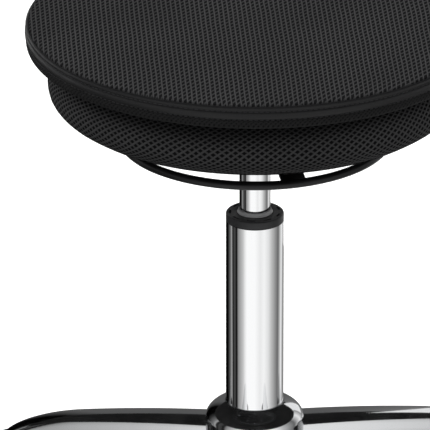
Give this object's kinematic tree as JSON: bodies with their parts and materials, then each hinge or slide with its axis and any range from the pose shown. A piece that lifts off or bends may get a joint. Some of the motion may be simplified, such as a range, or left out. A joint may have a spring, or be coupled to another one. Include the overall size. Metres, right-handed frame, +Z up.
{
  "type": "drafting stool",
  "caption": "Round backless drafting stool: tiered mesh-covered seat on a chromed gas lift with a hoop release, over a polished star base on swivelling casters.",
  "frame": {"origin": "on the floor, on the axis of the gas lift, at the centre of the star base", "axes": "+Z up along the lift; the rear arm of the base points 1.3 degrees left of +Y, away from the viewer; +X to the viewer's right"},
  "size_m": [0.4852, 0.4861, 0.5149],
  "materials": {
    "mesh_fabric": "black open hexagonal mesh fabric over dark backing, matte",
    "vinyl": "smooth black vinyl with a soft sheen and stitched edges",
    "plywood": "bare birch plywood",
    "black_board": "matte black moulded board",
    "black_steel": "satin black powder coat",
    "zinc_steel": "zinc-plated steel",
    "chrome": "mirror chrome plating",
    "polished_aluminium": "polished die-cast aluminium",
    "black_plastic": "moulded black nylon, lightly textured",
    "grey_plastic": "light grey moulded wiper",
    "white_nylon": "natural nylon",
    "caster_tread": "black soft-tread wheel"
  },
  "bodies": {
    "base": {"star_base": "polished_aluminium", "column_tube": "chrome", "guide_sleeve": "white_nylon", "guide_cap": "black_plastic", "wiper_ring": "grey_plastic", "thrust_bearing": "zinc_steel", "caster_1_stem": "zinc_steel", "caster_2_stem": "zinc_steel", "caster_3_stem": "zinc_steel", "caster_4_stem": "zinc_steel", "caster_5_stem": "zinc_steel"},
    "gas_rod": {"piston_rod": "chrome", "piston": "zinc_steel", "rod_washer": "zinc_steel", "rod_clip": "zinc_steel"},
    "seat": {"pressure_tube": "chrome", "rod_gland": "black_plastic", "taper_socket": "black_steel", "cage_plate": "black_steel", "cage_post_1": "zinc_steel", "cage_post_2": "zinc_steel", "cage_post_3": "zinc_steel", "mount_plate": "black_steel", "plate_screw_1": "zinc_steel", "plate_screw_2": "zinc_steel", "plate_screw_3": "zinc_steel", "plate_screw_4": "zinc_steel", "lower_board": "plywood", "lower_cushion": "mesh_fabric", "top_board": "black_board", "tie_bolt_1": "zinc_steel", "tie_bolt_2": "zinc_steel", "tie_bolt_3": "zinc_steel", "top_cushion": "mesh_fabric", "border_band": "vinyl"},
    "release": {"release_ring": "black_steel"},
    "valve": {"release_button": "zinc_steel"},
    "caster_1": {"caster_1_body": "black_plastic", "caster_1_axle": "zinc_steel"},
    "caster_1_right": {"caster_1_wheel_right": "caster_tread"},
    "caster_1_left": {"caster_1_wheel_left": "caster_tread"},
    "caster_2": {"caster_2_body": "black_plastic", "caster_2_axle": "zinc_steel"},
    "caster_2_right": {"caster_2_wheel_right": "caster_tread"},
    "caster_2_left": {"caster_2_wheel_left": "caster_tread"},
    "caster_3": {"caster_3_body": "black_plastic", "caster_3_axle": "zinc_steel"},
    "caster_3_right": {"caster_3_wheel_right": "caster_tread"},
    "caster_3_left": {"caster_3_wheel_left": "caster_tread"},
    "caster_4": {"caster_4_body": "black_plastic", "caster_4_axle": "zinc_steel"},
    "caster_4_right": {"caster_4_wheel_right": "caster_tread"},
    "caster_4_left": {"caster_4_wheel_left": "caster_tread"},
    "caster_5": {"caster_5_body": "black_plastic", "caster_5_axle": "zinc_steel"},
    "caster_5_right": {"caster_5_wheel_right": "caster_tread"},
    "caster_5_left": {"caster_5_wheel_left": "caster_tread"}
  },
  "joints": [
    {"name": "seat_swivel", "type": "hinge", "parent": "base", "child": "gas_rod", "pos_m": [0, 0, 0.0832], "axis": [0, 0, 1], "continuous": true},
    {"name": "height_lift", "type": "slide", "parent": "gas_rod", "child": "seat", "axis": [0, 0, 1], "range_m": [-0.04, 0.1]},
    {"name": "ring_tilt", "type": "hinge", "parent": "seat", "child": "release", "pos_m": [0.00753, -0.02697, 0.4281], "axis": [-0.9632, -0.2689, 0], "range_deg": [0, 5], "stiffness_Nm_per_rad": 8, "springref_deg": -8.59},
    {"name": "valve_press", "type": "slide", "parent": "seat", "child": "valve", "axis": [0, 0, -1], "range_m": [0, 0.0026]},
    {"name": "caster_1_swivel", "type": "hinge", "parent": "base", "child": "caster_1", "pos_m": [-0.00522, 0.22994, 0.0575], "axis": [0, 0, 1], "continuous": true},
    {"name": "caster_1_right_spin", "type": "hinge", "parent": "caster_1", "child": "caster_1_right", "pos_m": [-0.00522, 0.20594, 0.025], "axis": [1, 0, 0], "continuous": true},
    {"name": "caster_1_left_spin", "type": "hinge", "parent": "caster_1", "child": "caster_1_left", "pos_m": [-0.00522, 0.20594, 0.025], "axis": [1, 0, 0], "continuous": true},
    {"name": "caster_2_swivel", "type": "hinge", "parent": "base", "child": "caster_2", "pos_m": [-0.2203, 0.06609, 0.0575], "axis": [0, 0, 1], "continuous": true},
    {"name": "caster_2_right_spin", "type": "hinge", "parent": "caster_2", "child": "caster_2_right", "pos_m": [-0.2203, 0.04209, 0.025], "axis": [1, 0, 0], "continuous": true},
    {"name": "caster_2_left_spin", "type": "hinge", "parent": "caster_2", "child": "caster_2_left", "pos_m": [-0.2203, 0.04209, 0.025], "axis": [1, 0, 0], "continuous": true},
    {"name": "caster_3_swivel", "type": "hinge", "parent": "base", "child": "caster_3", "pos_m": [-0.13093, -0.18909, 0.0575], "axis": [0, 0, 1], "continuous": true},
    {"name": "caster_3_right_spin", "type": "hinge", "parent": "caster_3", "child": "caster_3_right", "pos_m": [-0.13093, -0.21309, 0.025], "axis": [1, 0, 0], "continuous": true},
    {"name": "caster_3_left_spin", "type": "hinge", "parent": "caster_3", "child": "caster_3_left", "pos_m": [-0.13093, -0.21309, 0.025], "axis": [1, 0, 0], "continuous": true},
    {"name": "caster_4_swivel", "type": "hinge", "parent": "base", "child": "caster_4", "pos_m": [0.13938, -0.18296, 0.0575], "axis": [0, 0, 1], "continuous": true},
    {"name": "caster_4_right_spin", "type": "hinge", "parent": "caster_4", "child": "caster_4_right", "pos_m": [0.13938, -0.20696, 0.025], "axis": [1, 0, 0], "continuous": true},
    {"name": "caster_4_left_spin", "type": "hinge", "parent": "caster_4", "child": "caster_4_left", "pos_m": [0.13938, -0.20696, 0.025], "axis": [1, 0, 0], "continuous": true},
    {"name": "caster_5_swivel", "type": "hinge", "parent": "base", "child": "caster_5", "pos_m": [0.21707, 0.07602, 0.0575], "axis": [0, 0, 1], "continuous": true},
    {"name": "caster_5_right_spin", "type": "hinge", "parent": "caster_5", "child": "caster_5_right", "pos_m": [0.21707, 0.05202, 0.025], "axis": [1, 0, 0], "continuous": true},
    {"name": "caster_5_left_spin", "type": "hinge", "parent": "caster_5", "child": "caster_5_left", "pos_m": [0.21707, 0.05202, 0.025], "axis": [1, 0, 0], "continuous": true}
  ],
  "couplings": [
    {"joint": "valve_press", "follows": "ring_tilt", "m_per_rad": 0.028}
  ]
}
